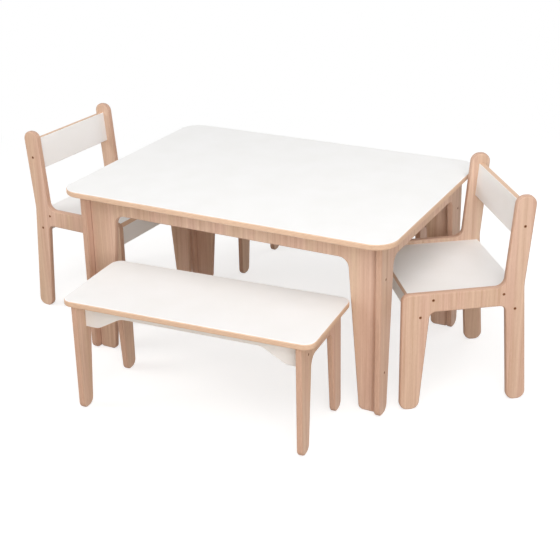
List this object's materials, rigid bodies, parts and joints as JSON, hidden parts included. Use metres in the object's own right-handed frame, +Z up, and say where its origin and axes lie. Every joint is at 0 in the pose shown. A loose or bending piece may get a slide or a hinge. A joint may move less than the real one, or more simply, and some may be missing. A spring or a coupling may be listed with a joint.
{
  "type": "kids table and chairs",
  "caption": "Low plywood play table with rounded corners, matching children's chairs and benches, beech veneer frames and white tops, seats and backrests.",
  "frame": {"origin": "on the floor under the middle of the whole set's box", "axes": "+X along the table towards the turned chair, +Y from the front bench to the back bench, +Z up"},
  "size_m": [1.4128, 1.1129, 0.525],
  "materials": {
    "beech_veneer_plywood": "satin varnish",
    "white_laminate_plywood": "satin white laminate on both faces",
    "bronzed_screw_steel": "bronzed, countersunk",
    "zinc_plated_steel": "zinc plated",
    "beech_dowel": "raw, fluted dowels shown smooth"
  },
  "bodies": {
    "table": {"table_front_panel": "beech_veneer_plywood", "table_back_panel": "beech_veneer_plywood", "table_left_panel": "beech_veneer_plywood", "table_right_panel": "beech_veneer_plywood", "table_top": "white_laminate_plywood", "table_corner_screws": "bronzed_screw_steel", "table_corner_dowels": "beech_dowel", "table_angles": "zinc_plated_steel", "table_angle_screws": "zinc_plated_steel"},
    "left_chair": {"left_chair_left_side": "beech_veneer_plywood", "left_chair_right_side": "beech_veneer_plywood", "left_chair_seat": "white_laminate_plywood", "left_chair_front_apron": "white_laminate_plywood", "left_chair_rear_rail": "white_laminate_plywood", "left_chair_backrest": "white_laminate_plywood", "left_chair_screws": "bronzed_screw_steel", "left_chair_dowels": "beech_dowel"},
    "right_chair": {"right_chair_left_side": "beech_veneer_plywood", "right_chair_right_side": "beech_veneer_plywood", "right_chair_seat": "white_laminate_plywood", "right_chair_front_apron": "white_laminate_plywood", "right_chair_rear_rail": "white_laminate_plywood", "right_chair_backrest": "white_laminate_plywood", "right_chair_screws": "bronzed_screw_steel", "right_chair_dowels": "beech_dowel"},
    "front_bench": {"front_bench_left_frame": "beech_veneer_plywood", "front_bench_right_frame": "beech_veneer_plywood", "front_bench_front_rail": "white_laminate_plywood", "front_bench_back_rail": "white_laminate_plywood", "front_bench_top": "white_laminate_plywood", "front_bench_screws": "bronzed_screw_steel", "front_bench_dowels": "beech_dowel", "front_bench_angles": "zinc_plated_steel", "front_bench_angle_screws": "zinc_plated_steel"},
    "back_bench": {"back_bench_left_frame": "beech_veneer_plywood", "back_bench_right_frame": "beech_veneer_plywood", "back_bench_front_rail": "white_laminate_plywood", "back_bench_back_rail": "white_laminate_plywood", "back_bench_top": "white_laminate_plywood", "back_bench_screws": "bronzed_screw_steel", "back_bench_dowels": "beech_dowel", "back_bench_angles": "zinc_plated_steel", "back_bench_angle_screws": "zinc_plated_steel"}
  },
  "joints": [
    {"name": "left_chair_slide", "type": "slide", "parent": "table", "child": "left_chair", "axis": [-0.9994, 0.0349, 0], "range_m": [-0.18, 0.4]},
    {"name": "right_chair_slide", "type": "slide", "parent": "table", "child": "right_chair", "axis": [0.8028, 0.5962, 0], "range_m": [0, 0.35]},
    {"name": "front_bench_slide", "type": "slide", "parent": "table", "child": "front_bench", "axis": [0.0698, -0.9976, 0], "range_m": [0, 0.35]},
    {"name": "back_bench_slide", "type": "slide", "parent": "table", "child": "back_bench", "axis": [0, 1, 0], "range_m": [-0.1, 0.35]}
  ]
}
